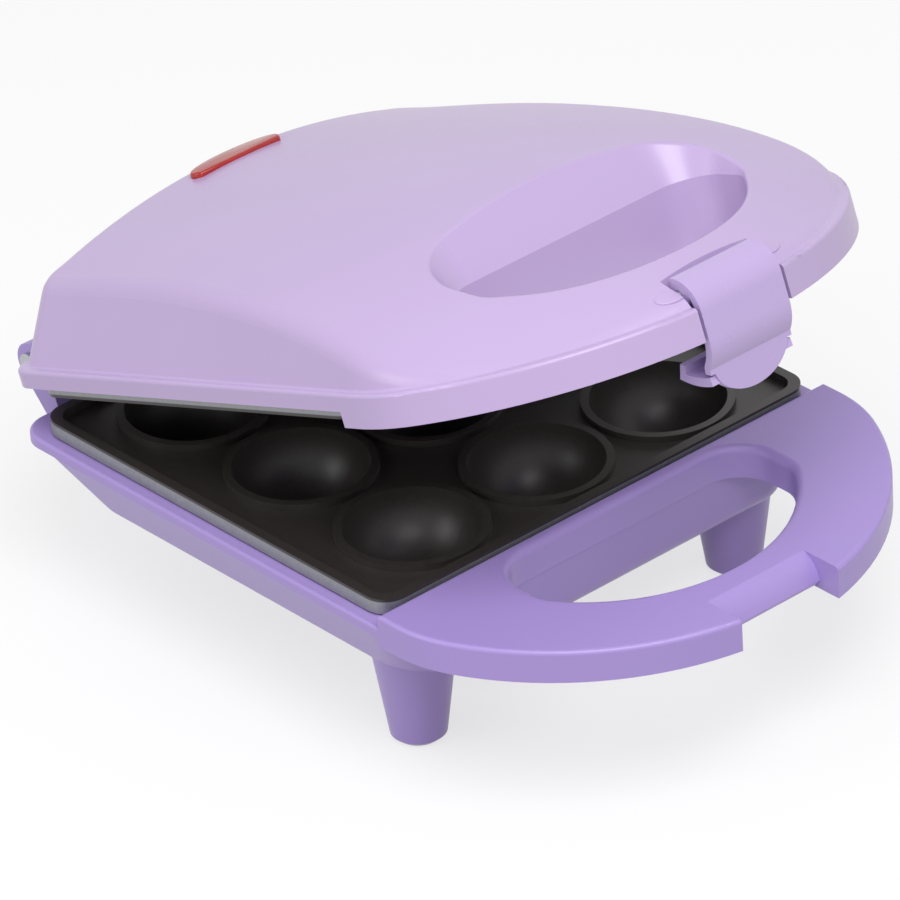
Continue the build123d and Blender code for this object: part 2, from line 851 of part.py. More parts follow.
with BuildPart() as latch:
    add(latch_face(latch_half_width, latch_skirt))
    add(latch_tongue.part)
    # eye for the pin, and webs that tie it to the front wall
    with BuildSketch(side(0)):
        with Locations((latch_pin_y, latch_pin_z)):
            Circle(latch_barrel_radius)
    extrude(amount=latch_half_width, both=True)
    for place in (-latch_web_spacing, 0, latch_web_spacing):
        with BuildSketch(side(place)):
            with Locations((latch_pin_y, latch_pin_z)):
                Circle(latch_barrel_radius)
            with BuildLine():
                Polyline(
                    (-latch_top_back, latch_top - latch_wall / 2),
                    (-latch_top_back - latch_round + latch_wall, latch_top - latch_round),
                    (-latch_top_back - latch_round + latch_wall / 2, latch_belly_z),
                    (latch_crease_y + latch_wall, latch_crease_z + latch_wall),
                    close=True,
                )
            make_face()
            make_hull()
        extrude(amount=latch_web_thickness / 2, both=True)
    # jaw, curved about the pin so that it swings in under the catch
    jaw_start = 270 - degrees(asin((-latch_crease_y - latch_wall / 2 + latch_pin_y) / jaw_radius))
    with BuildSketch(side(0)):
        with BuildLine():
            floor = latch_arc(jaw_radius, jaw_start, jaw_end - jaw_tip_angle)
            tip = latch_arc(jaw_radius - jaw_tip_rise, jaw_end - jaw_tip_angle, jaw_end)
            under = latch_arc(jaw_radius + jaw_thickness, jaw_start, jaw_end)
            Line(floor @ 1, tip @ 0)
            Line(tip @ 1, under @ 1)
            Line(under @ 0, floor @ 0)
        make_face()
    extrude(amount=latch_half_width, both=True)
    with BuildSketch(side(0)):
        with Locations((latch_pin_y, latch_pin_z)):
            Circle(latch_pin_radius + latch_pin_clearance)
    extrude(amount=2 * latch_half_width, both=True, mode=Mode.SUBTRACT)

with BuildPart() as latch_pin:
    with BuildSketch(side(0)):
        with Locations((latch_pin_y, latch_pin_z)):
            Circle(latch_pin_radius)
    extrude(amount=slot_half_width + slot_wall, both=True)


# --- hinge ---
with BuildPart() as hinge_pins:
    for place, reach in ((hinge_pin_start, 1), (-hinge_pin_start, -1)):
        head = hinge_pin_start + hinge_pin_length
        with BuildSketch(side(place)):
            with Locations((hinge_y, hinge_z)):
                Circle(hinge_pin_radius)
        extrude(amount=reach * hinge_pin_length)
        with BuildSketch(side(reach * head)):
            with Locations((hinge_y, hinge_z)):
                Circle(pin_head_radius)
        extrude(amount=reach * pin_head_height)

with BuildPart() as hinge_washers:
    for place in (ear_inner, washer_thickness - ear_inner):
        with BuildSketch(side(place)):
            with Locations((hinge_y, hinge_z)):
                Circle(washer_radius)
                Circle(hinge_pin_radius, mode=Mode.SUBTRACT)
        extrude(amount=-washer_thickness)


# --- heating elements ---
def heater_tube(rim):
    """A sheathed element lying in its plate's groove."""
    path = rim.offset(-heater_depth) * heater_line(heater_length_rear)
    with BuildPart() as tube:
        with BuildSketch(Plane(origin=path @ 0, z_dir=path % 0)):
            Circle(heater_radius)
        sweep(path=path)
    return tube.part


def heater_ends(height, start, radius, length):
    """A pair of round pieces on the two ends of an element."""
    with BuildPart() as ends:
        with BuildSketch(front(start)):
            with Locations((-cup_pitch / 2, height), (cup_pitch / 2, height)):
                Circle(radius)
        extrude(amount=-length)
    return ends.part


upper_heater_z = upper_rim_z + heater_depth
seal_end = heater_length_rear + seal_length
pin_end = seal_end + pin_length

with BuildPart() as lower_heater:
    add(heater_tube(lower_rim))
with BuildPart() as upper_heater:
    add(heater_tube(upper_rim))
with BuildPart() as lower_heater_seals:
    add(heater_ends(-heater_depth, heater_length_rear, seal_radius, seal_length))
with BuildPart() as upper_heater_seals:
    add(heater_ends(upper_heater_z, heater_length_rear, seal_radius, seal_length))
with BuildPart() as lower_heater_pins:
    add(heater_ends(-heater_depth, seal_end, pin_radius, pin_length))
with BuildPart() as upper_heater_pins:
    add(heater_ends(upper_heater_z, seal_end, pin_radius, pin_length))


# --- reflectors ---
def reflector(seat):
    """A sheet pan with a turned-up rim, holed for the posts that it is seated on."""
    with BuildPart() as pan:
        with BuildSketch(seat):
            RectangleRounded(2 * reflector_half_width, 2 * reflector_half_depth, reflector_corner)
        extrude(amount=reflector_thickness)
        with BuildSketch(seat.offset(reflector_thickness)):
            RectangleRounded(2 * reflector_half_width, 2 * reflector_half_depth, reflector_corner)
            offset(amount=-reflector_thickness, mode=Mode.SUBTRACT)
        extrude(amount=reflector_rim)
        with on(seat, screw_plan):
            Hole(pillar_radius + reflector_hole_gap, depth=2 * reflector_rim)
    return pan.part


with BuildPart() as lower_reflector:
    add(reflector(level(reflector_seat)))
with BuildPart() as upper_reflector:
    seat = upper_rim.offset(upper_rim_z - upper_reflector_seat)
    add(reflector(seat))
    with BuildSketch(seat):
        RectangleRounded(
            thermostat_pad_length + 4 * reflector_gap, 2 * thermostat_radius + reflector_gap, reflector_gap
        )
    extrude(amount=reflector_thickness, mode=Mode.SUBTRACT)


# --- screws ---
def pan_screw(length, radius, head_radius, head_height):
    """A round-headed screw whose shank runs up from its seat at the origin, with a plain driving slot."""
    with BuildPart() as screw:
        Cylinder(radius, length, align=(Align.CENTER, Align.CENTER, Align.MIN))
        Cylinder(head_radius, head_height, align=(Align.CENTER, Align.CENTER, Align.MAX))
        with Locations((0, 0, -head_height)):
            Box(
                2 * head_radius,
                screw_slot_width,
                head_height / 2,
                align=(Align.CENTER, Align.CENTER, Align.MIN),
                mode=Mode.SUBTRACT,
            )
    return screw.part


def sunk_screw(length, radius, head_radius):
    """A countersunk screw standing head down, with its flat face at the origin."""
    with BuildPart() as screw:
        Cone(head_radius, radius, head_radius - radius, align=(Align.CENTER, Align.CENTER, Align.MIN))
        Cylinder(radius, length, align=(Align.CENTER, Align.CENTER, Align.MIN))
        Box(
            2 * head_radius,
            screw_slot_width,
            head_radius / 3,
            align=(Align.CENTER, Align.CENTER, Align.MIN),
            mode=Mode.SUBTRACT,
        )
    return screw.part


with BuildPart() as lower_plate_screws:
    with on(level(well_top), screw_plan):
        add(pan_screw(screw_seat + screw_bite, screw_radius, screw_head_radius, screw_head_height))

with BuildPart() as upper_plate_screws:
    with on(level(upper_rim_z + plate_rim_height), screw_plan):
        add(sunk_screw(plate_back - plate_rim_height + post_bite, screw_radius, screw_head_radius))

# --- inlet bush ---
with BuildPart() as cord_gland:
    with BuildSketch(side(0)):
        with BuildLine():
            Polyline(
                (gland_boss_front - gland_lip_length, gland_z + gland_bore_radius),
                (gland_boss_front - gland_lip_length, gland_z + gland_body_radius),
                (gland_boss_front, gland_z + gland_body_radius + gland_lip),
                (gland_boss_front, gland_z + gland_body_radius),
                (gland_boss_rear, gland_z + gland_body_radius),
                (gland_boss_rear, gland_z + gland_flange_radius),
                (gland_boss_rear + gland_flange_thickness, gland_z + gland_flange_radius),
                (gland_boss_rear + gland_flange_thickness, gland_z + gland_bore_radius),
                close=True,
            )
        make_face()
    revolve(axis=Axis((0, case_y, parting_height + gland_z), (0, 1, 0)))

# --- power light ---
with BuildPart() as indicator_lens:
    with BuildSketch(level(lens_seat)):
        with Locations((0, lens_y)):
            SlotOverall(lens_length, lens_width)
    extrude(amount=lens_top - lens_seat)
    chamfer(indicator_lens.faces().sort_by(Axis.Z)[-1].edges(), lens_round)
    with BuildSketch(level(lens_seat)):
        with Locations((0, lens_y)):
            SlotOverall(lens_length + 2 * lens_flange_margin, lens_width + 2 * lens_flange_margin)
    extrude(amount=-lens_flange_thickness)

lamp_z = lens_seat - lens_flange_thickness - lamp_radius
with BuildPart() as lamp_holder:
    with BuildSketch(side(-lamp_holder_length / 2)):
        with Locations((lens_y, lamp_z + lamp_radius)):
            Rectangle(lamp_holder_width, 2 * lamp_radius + lamp_holder_floor, align=(Align.CENTER, Align.MAX))
        with Locations((lens_y, lamp_z)):
            Circle(lamp_radius, mode=Mode.SUBTRACT)
            Rectangle(2 * lamp_radius, lamp_radius, align=(Align.CENTER, Align.MIN), mode=Mode.SUBTRACT)
    extrude(amount=lamp_holder_length)

with BuildPart() as indicator_lamp:
    with BuildSketch(side(-lamp_length / 2)):
        with Locations((lens_y, lamp_z)):
            Circle(lamp_radius)
    extrude(amount=lamp_length)
    chamfer(indicator_lamp.edges().filter_by(GeomType.CIRCLE), lamp_radius / 3)

# --- thermostat on the middle cup ---
thermostat_z = upper_rim_z + cup_drop + thermostat_pad_depth
with BuildPart() as thermostat:
    with BuildSketch(level(thermostat_z)):
        SlotOverall(thermostat_pad_length, thermostat_flange_width)
        with Locations((-thermostat_screw_spacing / 2, 0), (thermostat_screw_spacing / 2, 0)):
            Circle(small_screw_radius, mode=Mode.SUBTRACT)
    extrude(amount=reflector_thickness)
    with BuildSketch(level(thermostat_z)):
        Circle(thermostat_radius)
    extrude(amount=thermostat_height)
    with BuildSketch(level(thermostat_z + thermostat_height)):
        with Locations((0, -terminal_spacing / 2), (0, terminal_spacing / 2)):
            Rectangle(terminal_width, reflector_thickness)
    extrude(amount=terminal_height)

with BuildPart() as thermostat_screws:
    with Locations(
        *[
            Plane(level(thermostat_z + reflector_thickness).origin + (x, 0, 0), z_dir=(0, 0, -1))
            for x in (-thermostat_screw_spacing / 2, thermostat_screw_spacing / 2)
        ]
    ):
        add(pan_screw(small_screw_bite, small_screw_radius, 2 * small_screw_radius, small_screw_radius))

# --- covers under the lid's handle ---
with BuildPart() as handle_covers:
    with BuildSketch(level(lid_handle_bottom)):
        add(lid_hollow)
        offset(amount=-cover_gap)
    extrude(amount=cover_thickness)
    with on(level(lid_handle_bottom), Locations(*cover_screw_spots)):
        CounterSinkHole(cover_screw_radius, cover_screw_head_radius, depth=cover_thickness)

with BuildPart() as handle_cover_screws:
    with on(level(lid_handle_bottom), Locations(*cover_screw_spots)):
        add(sunk_screw(cover_thickness + cover_bite, cover_screw_radius, cover_screw_head_radius))

# --- splices, fuse and leads ---
with BuildPart() as splice_caps:
    with BuildSketch(side(-cap_start)):
        with Locations((cap_y, -heater_depth)):
            Circle(cap_radius)
    extrude(amount=-cap_length)
    with BuildSketch(side(cap_start)):
        with Locations((cap_y, -heater_depth)):
            Circle(cap_radius)
    extrude(amount=cap_length)


def lead(points):
    """A round insulated lead along a bent path in the case's own places."""
    with BuildPart() as run:
        with BuildLine(level(0)) as path:
            Polyline(*points)
        with BuildSketch(Plane(origin=path.line @ 0, z_dir=path.line % 0)):
            Circle(lead_radius)
        sweep(path=path.line, transition=Transition.RIGHT)
    return run.part


cap_end = cap_start + cap_length
leg_x = cup_pitch / 2
with BuildPart() as base_wiring:
    for hand in (-1, 1):
        add(
            lead(
                [
                    (hand * leg_x, pin_end, -heater_depth),
                    (hand * leg_x, cap_y, -heater_depth),
                    (hand * cap_end, cap_y, -heater_depth),
                ]
            )
        )

lid_lead_z = thermostat_z + thermostat_height + terminal_height + lead_radius
with BuildPart() as lid_wiring:
    for hand in (-1, 1):
        add(
            lead(
                [
                    (hand * leg_x, pin_end, upper_heater_z),
                    (hand * leg_x, lid_lead_back, upper_heater_z),
                    (hand * leg_x, lid_lead_back, lid_lead_z),
                    (hand * leg_x, hand * terminal_spacing / 2, lid_lead_z),
                    (-hand * terminal_width / 2, hand * terminal_spacing / 2, lid_lead_z),
                ]
            )
        )

# --- finished pieces: the lid and its latch stand at their resting angle ---
hinge_line = Axis((0, case_y + hinge_y, parting_height + hinge_z), (1, 0, 0))
base_pieces = {
    "base_shell": base_shell,
    "lower_plate": lower_plate,
    "lower_plate_screws": lower_plate_screws,
    "lower_heater": lower_heater,
    "lower_heater_seals": lower_heater_seals,
    "lower_heater_pins": lower_heater_pins,
    "lower_reflector": lower_reflector,
    "hinge_pins": hinge_pins,
    "hinge_washers": hinge_washers,
    "cord_gland": cord_gland,
    "splice_caps": splice_caps,
    "base_wiring": base_wiring,
}
lid_pieces = {
    "lid_shell": lid_shell,
    "upper_plate": upper_plate,
    "upper_plate_screws": upper_plate_screws,
    "upper_heater": upper_heater,
    "upper_heater_seals": upper_heater_seals,
    "upper_heater_pins": upper_heater_pins,
    "upper_reflector": upper_reflector,
    "thermostat": thermostat,
    "thermostat_screws": thermostat_screws,
    "indicator_lens": indicator_lens,
    "indicator_lamp": indicator_lamp,
    "lamp_holder": lamp_holder,
    "handle_covers": handle_covers,
    "handle_cover_screws": handle_cover_screws,
    "lid_wiring": lid_wiring,
    "latch_pin": latch_pin,
    "latch": latch,
}
os.makedirs("parts", exist_ok=True)
for name, piece in base_pieces.items():
    piece.part.label = name
    export_step(piece.part, f"parts/{name}.step")
for name, piece in lid_pieces.items():
    opened = piece.part.rotate(hinge_line, -rest_opening)
    opened.label = name
    export_step(opened, f"parts/{name}.step")
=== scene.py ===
# %% [markdown]
# # A cake pop maker, dressed and lit
# A cake pop maker is a small hinged cooker: two cast plates with nine round cups each, in a moulded
# plastic case that latches at the front. Its solids are loaded as they are and keep their places.
# Every cell below gives one of its parts the surface that part really has, except that the base's colour
# carries painted shade, and the last cells build a small white studio round it.

# %% Load the model
import bmesh
import bpy
import json
import math
from mathutils import Matrix, Vector


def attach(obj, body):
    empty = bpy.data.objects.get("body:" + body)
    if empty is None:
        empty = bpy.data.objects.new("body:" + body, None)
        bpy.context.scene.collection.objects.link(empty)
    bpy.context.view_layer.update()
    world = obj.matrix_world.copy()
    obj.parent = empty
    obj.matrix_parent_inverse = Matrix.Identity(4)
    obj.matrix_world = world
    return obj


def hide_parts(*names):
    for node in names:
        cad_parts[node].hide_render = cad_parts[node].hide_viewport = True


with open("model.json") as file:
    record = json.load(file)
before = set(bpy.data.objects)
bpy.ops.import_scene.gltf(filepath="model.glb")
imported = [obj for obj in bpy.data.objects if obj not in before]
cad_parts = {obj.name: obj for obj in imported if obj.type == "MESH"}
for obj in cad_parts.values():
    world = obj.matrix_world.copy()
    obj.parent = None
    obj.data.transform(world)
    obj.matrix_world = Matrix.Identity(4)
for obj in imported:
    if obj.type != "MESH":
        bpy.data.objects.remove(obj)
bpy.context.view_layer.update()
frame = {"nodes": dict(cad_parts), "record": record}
nodes = frame["nodes"]

# %% [markdown]
# ## Units and colours
# Blender's unit is the metre, and a toolmaker's is the millimetre, so sizes are written in
# millimetres and multiplied once. Only the studio round the object, which is metres wide, is written
# in metres.
#
# A colour is written as the hex value that a screen shows. A shader wants linear light, so one
# function undoes the screen's curve.

# %% Units and colours
mm = 0.001


def colour(hex_code):
    """The linear red, green, blue and alpha of a screen colour."""
    channels = [int(hex_code[i:i + 2], 16) / 255 for i in (0, 2, 4)]
    linear = [c / 12.92 if c <= 0.04045 else ((c + 0.055) / 1.055) ** 2.4 for c in channels]
    return linear + [1.0]


print("mid lavender in linear light:", [round(c, 3) for c in colour("BDACCE")])

# %% [markdown]
# ## How a material is put together
# A material is a small network of nodes. Each node could be added and wired with several lines, which
# hides what the network does, so `add_node` does it in one: the settings go by name, and every input
# is either a plain value or the output of an earlier node.
#
# A number that is the same all over goes straight on the shader's socket. Only what varies from place
# to place gets a node.

# %% One helper for nodes
def add_node(tree, kind, inputs=None, **settings):
    """Adds a node, sets it, and wires or fills its inputs."""
    node = tree.nodes.new("ShaderNode" + kind)
    for name, value in settings.items():
        setattr(node, name, value)
    for socket, value in (inputs or {}).items():
        if isinstance(value, bpy.types.NodeSocket):
            tree.links.new(value, node.inputs[socket])
        else:
            node.inputs[socket].default_value = value
    return node


def start_material(name):
    """An empty material, its tree, and the object coordinates that its patterns are laid out in."""
    material = bpy.data.materials.new(name)
    material.use_nodes = True
    tree = material.node_tree
    tree.nodes.clear()
    return material, tree, add_node(tree, "TexCoord").outputs["Object"]


def finish_material(material, shader):
    """Wires the shader to the output and reports the material."""
    add_node(material.node_tree, "OutputMaterial", {"Surface": shader.outputs["BSDF"]})
    print(material.name, "has", len(material.node_tree.nodes), "nodes")
    return material


# %% [markdown]
# ## Patterns at their real size
# A noise texture repeats about once per unit at a scale of 1, and the unit is a metre. So a pattern
# whose grains lie a given number of millimetres apart needs a scale of one over that distance.

# %% Scale of a pattern
def scale_for(spacing):
    """The texture scale whose features are this many millimetres apart."""
    return 1 / (spacing * mm)


print("scale for grains 2 mm apart:", round(scale_for(2.0)))

# %% [markdown]
# ## Moulded ABS
# The lid, the base and the latch are injection moulded in ABS, a tough plastic that takes a good
# gloss from a polished mould. The eye reads three things on it: a soft, wide highlight; a faint
# orange peel, a couple of millimetres across, where the skin froze before the core; and a very
# slight drift of shade between thick and thin places, because the colour is mixed into the pellets.
#
# The peel could be modelled as a displaced mesh, but it is only some hundredths of a millimetre
# deep, so a bump is enough, and the same noise also loosens the gloss where the skin dips.

# %% Moulded ABS
abs_ior = 1.53
peel_spacing = 2.4
drift_spacing = 60.0
abs_gloss_spread = 0.03


def moulded_abs(name, hex_thin, hex_thick, roughness, peel_depth):
    """Glossy moulded ABS, with its peel depth in millimetres."""
    material, tree, place = start_material(name)
    drift = add_node(tree, "TexNoise", {
        "Vector": place, "Scale": scale_for(drift_spacing), "Detail": 2.0})
    shade = add_node(tree, "Mix", {
        "Factor": drift.outputs["Fac"], "A": colour(hex_thin), "B": colour(hex_thick)}, data_type="RGBA")
    peel = add_node(tree, "TexNoise", {"Vector": place, "Scale": scale_for(peel_spacing), "Detail": 1.0})
    gloss = add_node(tree, "MapRange", {
        "Value": peel.outputs["Fac"],
        "To Min": roughness - abs_gloss_spread, "To Max": roughness + abs_gloss_spread})
    skin = add_node(tree, "Bump", {
        "Height": peel.outputs["Fac"], "Distance": peel_depth * mm, "Strength": 0.2})
    shader = add_node(tree, "BsdfPrincipled", {
        "Base Color": shade.outputs[2], "Roughness": gloss.outputs["Result"], "IOR": abs_ior,
        "Normal": skin.outputs["Normal"]})
    return finish_material(material, shader)


lid_abs = moulded_abs("abs_polished_lid", "BEA9D3", "B8A2CD", roughness=0.30, peel_depth=0.03)
# The base is moulded in the same lavender as the lid. Its darker, bluer colour here is painted shade,
# standing in for the shade that falls on the base's sides.
base_abs_painted_shade = moulded_abs("abs_base_painted_shade", "A892D2", "A38CCD", roughness=0.36, peel_depth=0.03)
latch_abs = moulded_abs("abs_polished_latch", "BCA7D6", "B6A1D1", roughness=0.26, peel_depth=0.02)

# %% [markdown]
# ## Die-cast plates with a non-stick coat
# The baking plates are die-cast aluminium. After casting they are blasted, and a black non-stick
# coat is sprayed on the baking face. The edges rest in a fixture during spraying, so they stay bare:
# grey, a little rough, with the fine pitting of the die.
#
# The two finishes could be two material slots, but the solid is one mesh with loose faces. A mask is
# simpler: it is worked out from the distance to the plate's outline, a rectangle with round corners.
# Points at the outline and below the rim are bare, and the rest is coated. The upper plate is drawn
# with the lid ajar, so a Mapping node first turns it back down about the hinge.

# %% The plate's outline and the hinge
plate_half = Vector((78.0, 71.0, 0.0)) * mm
plate_corner = 7.0 * mm
case_centre = Vector((0.0, 25.59956, 55.0)) * mm
hinge_place = Vector((0.0, 111.59956, 61.0)) * mm
lid_ajar = math.radians(19.5)
print("plates are", [round(2 * half / mm) for half in plate_half[:2]], "mm,",
      "lid ajar by", round(math.degrees(lid_ajar), 1), "degrees")


# %% Where the metal is bare
coat_overlap = 0.7 * mm
coat_fade = 0.3 * mm
outline_skin = 0.25 * mm


def bare_edge(tree, place, rim_height, outward):
    """1 on a plate's sides and 0 on its coated face; outward is +1 where the face looks up."""
    centred = add_node(tree, "VectorMath", {0: place, 1: case_centre}, operation="SUBTRACT")
    folded = add_node(tree, "VectorMath", {0: centred.outputs[0]}, operation="ABSOLUTE")
    inner = plate_half - Vector((plate_corner, plate_corner, 0))
    past = add_node(tree, "VectorMath", {0: folded.outputs[0], 1: inner}, operation="SUBTRACT")
    beyond = add_node(tree, "VectorMath", {0: past.outputs[0], 1: (0, 0, 0)}, operation="MAXIMUM")
    flat = add_node(tree, "VectorMath", {0: beyond.outputs[0], 1: (1, 1, 0)}, operation="MULTIPLY")
    reach = add_node(tree, "VectorMath", {0: flat.outputs[0]}, operation="LENGTH")
    at_side = add_node(tree, "Math", {
        0: reach.outputs["Value"], 1: plate_corner - outline_skin}, operation="GREATER_THAN")
    height = add_node(tree, "SeparateXYZ", {0: centred.outputs[0]}).outputs["Z"]
    depth = add_node(tree, "Math", {
        0: height, 1: outward, 2: -outward * rim_height}, operation="MULTIPLY_ADD")
    under = add_node(tree, "MapRange", {
        "Value": depth.outputs[0], "From Min": -coat_overlap, "From Max": -coat_overlap - coat_fade})
    both = add_node(tree, "Math", {
        0: at_side.outputs[0], 1: under.outputs["Result"]}, operation="MULTIPLY")
    return both.outputs[0]


print("the coat ends", round(coat_overlap / mm, 1), "mm below the rim")

# %% The coated casting
coat_grain = 1.1
cast_pitting = 0.8
bare_metallic = 0.75
upper_rim_height = 1.0 * mm


def coated_casting(name, rim_height, outward, turned_back):
    """Black non-stick coat on grey cast aluminium; turned_back undoes the lid's opening."""
    material, tree, place = start_material(name)
    if turned_back:
        turn = Matrix.Rotation(turned_back, 3, "X")
        shift = hinge_place - turn @ hinge_place
        place = add_node(tree, "Mapping", {
            "Vector": place, "Location": shift, "Rotation": (turned_back, 0, 0)}).outputs["Vector"]
    bare = bare_edge(tree, place, rim_height, outward)
    grain = add_node(tree, "TexNoise", {
        "Vector": place, "Scale": scale_for(coat_grain), "Detail": 3.0})
    pitting = add_node(tree, "TexNoise", {
        "Vector": place, "Scale": scale_for(cast_pitting), "Detail": 2.0})
    black = add_node(tree, "Mix", {
        "Factor": grain.outputs["Fac"], "A": colour("2D2928"), "B": colour("3A3534")}, data_type="RGBA")
    grey = add_node(tree, "Mix", {
        "Factor": pitting.outputs["Fac"], "A": colour("87898C"), "B": colour("A3A5A8")}, data_type="RGBA")
    skin = add_node(tree, "Mix", {
        "Factor": bare, "A": black.outputs[2], "B": grey.outputs[2]}, data_type="RGBA")
    coat_gloss = add_node(tree, "MapRange", {
        "Value": grain.outputs["Fac"], "To Min": 0.32, "To Max": 0.46})
    metal_gloss = add_node(tree, "MapRange", {
        "Value": pitting.outputs["Fac"], "To Min": 0.42, "To Max": 0.58})
    gloss = add_node(tree, "Mix", {
        0: bare, 2: coat_gloss.outputs["Result"], 3: metal_gloss.outputs["Result"]})
    dents = add_node(tree, "Bump", {
        "Height": grain.outputs["Fac"], "Distance": 0.04 * mm, "Strength": 0.35})
    metal = add_node(tree, "Math", {0: bare, 1: bare_metallic}, operation="MULTIPLY")
    shader = add_node(tree, "BsdfPrincipled", {
        "Base Color": skin.outputs[2], "Roughness": gloss.outputs[0], "Metallic": metal.outputs[0],
        "Normal": dents.outputs["Normal"]})
    return finish_material(material, shader)


lower_coat = coated_casting(
    "non_stick_on_lower_casting", rim_height=0.0, outward=1.0, turned_back=0.0)
upper_coat = coated_casting(
    "non_stick_on_upper_casting", rim_height=upper_rim_height, outward=-1.0, turned_back=lid_ajar)

# %% [markdown]
# ## Small metal parts
# The screws, hinge pins, latch pin and heater terminals are steel. Zinc plating gives them a bluish
# grey with a faint cloudiness. The heater's sheath is steel too, browned where it has been hot, and
# the reflector pans are rolled sheet with an aluminium skin, so their gloss runs in long streaks.
#
# One function covers the three. Stretching its noise along one axis turns clouds into rolling marks.

# %% Metals
cloud_gloss_spread = 0.07


def rolled_or_plated(name, hex_dark, hex_light, roughness, cloud_size, stretch=1.0):
    """A metal whose shade and gloss drift over clouds, or over streaks if stretched along X."""
    material, tree, place = start_material(name)
    laid = add_node(tree, "Mapping", {"Vector": place, "Scale": (1 / stretch, 1, 1)})
    clouds = add_node(tree, "TexNoise", {
        "Vector": laid.outputs["Vector"], "Scale": scale_for(cloud_size), "Detail": 3.0})
    shade = add_node(tree, "Mix", {
        "Factor": clouds.outputs["Fac"], "A": colour(hex_dark), "B": colour(hex_light)}, data_type="RGBA")
    gloss = add_node(tree, "MapRange", {
        "Value": clouds.outputs["Fac"],
        "To Min": roughness - cloud_gloss_spread, "To Max": roughness + cloud_gloss_spread})
    shader = add_node(tree, "BsdfPrincipled", {
        "Base Color": shade.outputs[2], "Roughness": gloss.outputs["Result"], "Metallic": 1.0})
    return finish_material(material, shader)


zinc = rolled_or_plated(
    "zinc_plated_steel", "A9ABB0", "C2C4C8", roughness=0.34, cloud_size=1.2)
sheath = rolled_or_plated(
    "heater_sheath_steel", "5C534B", "7D746C", roughness=0.48, cloud_size=3.0)
reflector = rolled_or_plated(
    "aluminised_sheet_steel", "B4B6B9", "CBCCCE", roughness=0.30, cloud_size=1.5, stretch=20.0)

# %% [markdown]
# ## Plastics, rubber and ceramic inside
# The parts that nobody sees are still real materials. Nylon is waxy and slightly see-through, so it
# gets some subsurface. Steatite ceramic is pressed from powder and left unglazed, which makes it
# matt and chalky. The cord gland is moulded rubber, and the thermostat's body is brown phenolic.
# They all share one recipe: a body colour that drifts, a roughness and a fine grain.

# %% Small mouldings
grain_gloss_spread = 0.05


def small_moulding(name, hex_dark, hex_light, roughness, grain_size, grain_depth, ior, glow=0.0):
    """A matt moulded or pressed part; glow is how far light seeps into it."""
    material, tree, place = start_material(name)
    grain = add_node(tree, "TexNoise", {"Vector": place, "Scale": scale_for(grain_size), "Detail": 3.0})
    shade = add_node(tree, "Mix", {
        "Factor": grain.outputs["Fac"], "A": colour(hex_dark), "B": colour(hex_light)}, data_type="RGBA")
    gloss = add_node(tree, "MapRange", {
        "Value": grain.outputs["Fac"],
        "To Min": roughness - grain_gloss_spread, "To Max": roughness + grain_gloss_spread})
    dents = add_node(tree, "Bump", {
        "Height": grain.outputs["Fac"], "Distance": grain_depth * mm, "Strength": 0.4})
    shader = add_node(tree, "BsdfPrincipled", {
        "Base Color": shade.outputs[2], "Roughness": gloss.outputs["Result"], "IOR": ior,
        "Normal": dents.outputs["Normal"], "Subsurface Weight": glow, "Subsurface Scale": 1.0 * mm})
    return finish_material(material, shader)


steatite = small_moulding(
    "unglazed_steatite", "DDD6C8", "EDE8DE", roughness=0.72, grain_size=0.6, grain_depth=0.05, ior=1.55)
nylon = small_moulding(
    "natural_nylon", "D6D2C2", "E2DFD2", roughness=0.42, grain_size=1.5, grain_depth=0.02, ior=1.53,
    glow=0.2)
splice_nylon = small_moulding(
    "nylon_splice_body", "CFCAB8", "DBD7C8", roughness=0.45, grain_size=1.5, grain_depth=0.02, ior=1.53,
    glow=0.2)
rubber = small_moulding(
    "moulded_black_rubber", "161618", "222226", roughness=0.62, grain_size=0.8, grain_depth=0.06, ior=1.52)
phenolic = small_moulding(
    "brown_phenolic", "241B16", "34281F", roughness=0.40, grain_size=1.0, grain_depth=0.03, ior=1.60)

# %% [markdown]
# ## Woven sleeve on the wiring
# Leads that run beside a heater wear a sleeve of braided glass yarn, soaked in varnish. From a hand's
# breadth it shows as fine diagonal ribs. Two sets of bands, crossed, make the braid: where both are
# high a yarn lies on top. The real yarn is 0.3 mm wide. The ribs are drawn several times coarser,
# 3.8 mm apart.
#
# A wave texture is a sine that turns through 20 radians in a unit at a scale of 1. A full turn is
# 2 pi, which gives the scale that sets the ribs their spacing apart.

# %% Woven sleeve
rib_spacing = 3.77
rib_lean = math.radians(45)
wave_radians = 20


def woven_sleeve(name):
    """Braided glass yarn, as two crossed sets of bands."""
    material, tree, place = start_material(name)
    bands = []
    rib_scale = scale_for(rib_spacing) * 2 * math.pi / wave_radians
    for lean in (rib_lean, -rib_lean):
        turned = add_node(tree, "Mapping", {"Vector": place, "Rotation": (lean, lean, lean)})
        bands.append(add_node(tree, "TexWave", {
            "Vector": turned.outputs["Vector"], "Scale": rib_scale, "Distortion": 0.4}))
    braid = add_node(tree, "Math", {
        0: bands[0].outputs["Fac"], 1: bands[1].outputs["Fac"]}, operation="MAXIMUM")
    shade = add_node(tree, "Mix", {
        "Factor": braid.outputs[0], "A": colour("C9C0AE"), "B": colour("E6DFD2")}, data_type="RGBA")
    ribs = add_node(tree, "Bump", {"Height": braid.outputs[0], "Distance": 0.1 * mm, "Strength": 0.6})
    shader = add_node(tree, "BsdfPrincipled", {
        "Base Color": shade.outputs[2], "Roughness": 0.55, "Sheen Weight": 0.2,
        "Normal": ribs.outputs["Normal"]})
    return finish_material(material, shader)


sleeve = woven_sleeve("varnished_glass_braid")

# %% [markdown]
# ## The indicator's lens and lamp
# The lens is moulded in clear acrylic with a red dye, and its polished skin throws a sharp highlight.
# Light passes into it, picks up the red and comes back out of the pale plastic behind. Full glass
# would turn it nearly black over the dark case, so only part of the light is let through, and the
# dye is a little uneven, as it is where the melt flowed in.

# %% Lens and lamp
flow_spacing = 9.0


